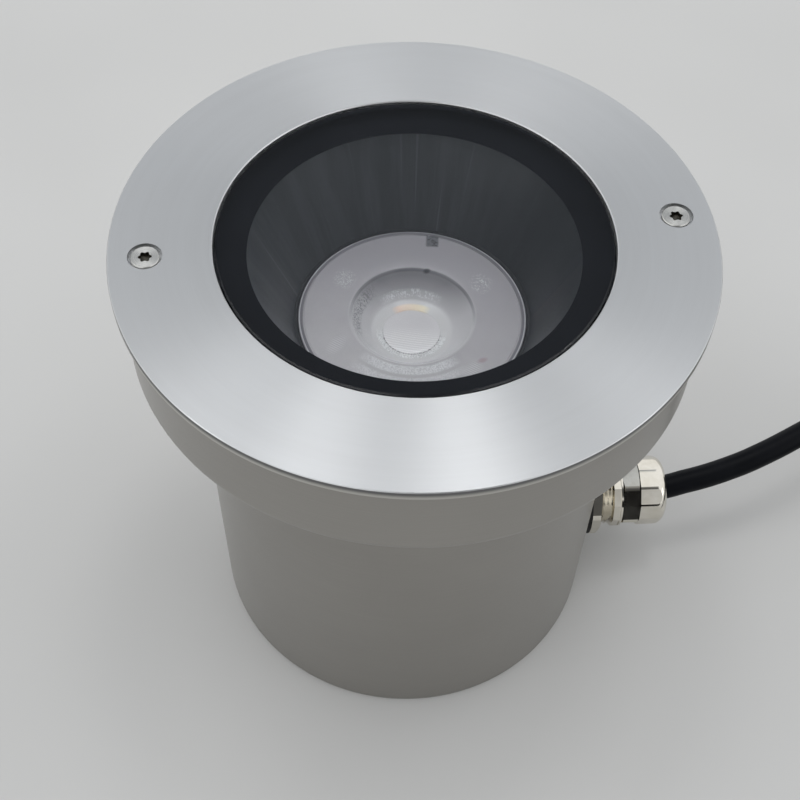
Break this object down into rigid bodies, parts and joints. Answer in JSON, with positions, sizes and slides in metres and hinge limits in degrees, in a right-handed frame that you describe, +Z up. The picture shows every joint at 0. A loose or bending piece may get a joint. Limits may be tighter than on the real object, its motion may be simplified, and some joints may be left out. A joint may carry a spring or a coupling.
{
  "type": "in ground well light",
  "caption": "Round recessed ground light: stepped glass in a steel trim ring on a wide collar, a narrow-beam lens in the can below, and a cable gland with its supply lead.",
  "frame": {"origin": "centre of the can's flat foot, on the light's axis", "axes": "+Z up along the light's axis to the glass; the cable gland points 5 degrees from +X towards +Y; the picture was taken from -Y, above"},
  "size_m": [0.4091, 0.18, 0.174],
  "materials": {
    "trim_steel": "turned stainless steel, satin",
    "screw_steel": "turned stainless steel",
    "clear_glass": "clear toughened glass",
    "border_black": "black enamel fired on the glass",
    "seal_rubber": "matte black silicone rubber",
    "housing_grey": "turned aluminium, warm grey satin anodised",
    "seat_aluminium": "plain cast aluminium",
    "inner_zinc": "zinc-plated steel",
    "cone_grey": "dark grey, semi-gloss",
    "lens_clear": "clear moulded acrylic",
    "holder_grey": "dark grey, matte",
    "board_white": "white solder mask on a metal core",
    "phosphor": "yellow phosphor in silicone",
    "pad_grey": "grey thermal pad",
    "driver_white": "white, matte",
    "brass": "plain brass",
    "wire_brown": "brown",
    "wire_blue": "blue",
    "wire_green": "green with yellow",
    "wire_red": "red",
    "wire_black": "black",
    "nickel": "polished nickel plate on brass",
    "cable_rubber": "black rubber sheath with a slight sheen",
    "copper": "bare copper strands"
  },
  "bodies": {
    "housing": {"collar": "housing_grey", "can": "housing_grey", "can_gasket": "seal_rubber", "seat_ring": "seat_aluminium", "seat_screws": "inner_zinc", "reflector_cone": "cone_grey", "lens": "lens_clear", "lens_holder": "holder_grey", "holder_screws": "inner_zinc", "led_board": "board_white", "led_emitter": "phosphor", "thermal_pad": "pad_grey", "board_screws": "inner_zinc", "heat_sink": "seat_aluminium", "sink_screws": "inner_zinc", "driver_case": "driver_white", "driver_cover": "holder_grey", "driver_screws": "inner_zinc", "terminal_block": "driver_white", "terminal_screws": "brass", "earth_tag": "brass", "earth_screw": "brass", "core_live": "wire_brown", "core_neutral": "wire_blue", "core_earth": "wire_green", "driver_lead_live": "wire_brown", "driver_lead_neutral": "wire_blue", "led_lead_red": "wire_red", "led_lead_black": "wire_black", "gland_gasket": "seal_rubber", "gland_locknut": "nickel", "gland_adapter": "nickel", "gland_body": "nickel", "gland_seal": "seal_rubber", "cable": "cable_rubber", "cable_coil": "cable_rubber", "coil_tie": "wire_black", "cable_tail": "cable_rubber", "end_core_live": "wire_brown", "end_core_neutral": "wire_blue", "end_core_earth": "wire_green", "end_core_tips": "copper"},
    "cover": {"trim_ring": "trim_steel", "glass": "clear_glass", "glass_print": "border_black", "glass_gasket": "seal_rubber"},
    "trim_screw_east": {"trim_screw_east": "screw_steel"},
    "trim_screw_west": {"trim_screw_west": "screw_steel"},
    "gland_nut": {"gland_nut": "nickel"}
  },
  "joints": [
    {"name": "cover_lift", "type": "slide", "parent": "housing", "child": "cover", "axis": [0, 0, 1], "range_m": [0, 0.04]},
    {"name": "trim_screw_east_turn", "type": "hinge", "parent": "cover", "child": "trim_screw_east", "pos_m": [0.07803, 0.01236, 0.174], "axis": [0, 0, 1], "range_deg": [0, 6120]},
    {"name": "trim_screw_west_turn", "type": "hinge", "parent": "cover", "child": "trim_screw_west", "pos_m": [-0.07803, -0.01236, 0.174], "axis": [0, 0, 1], "range_deg": [0, 6120]},
    {"name": "gland_nut_turn", "type": "hinge", "parent": "housing", "child": "gland_nut", "pos_m": [0.09464, 0.00828, 0.0295], "axis": [0.9962, 0.0872, 0], "range_deg": [0, 1320]}
  ]
}
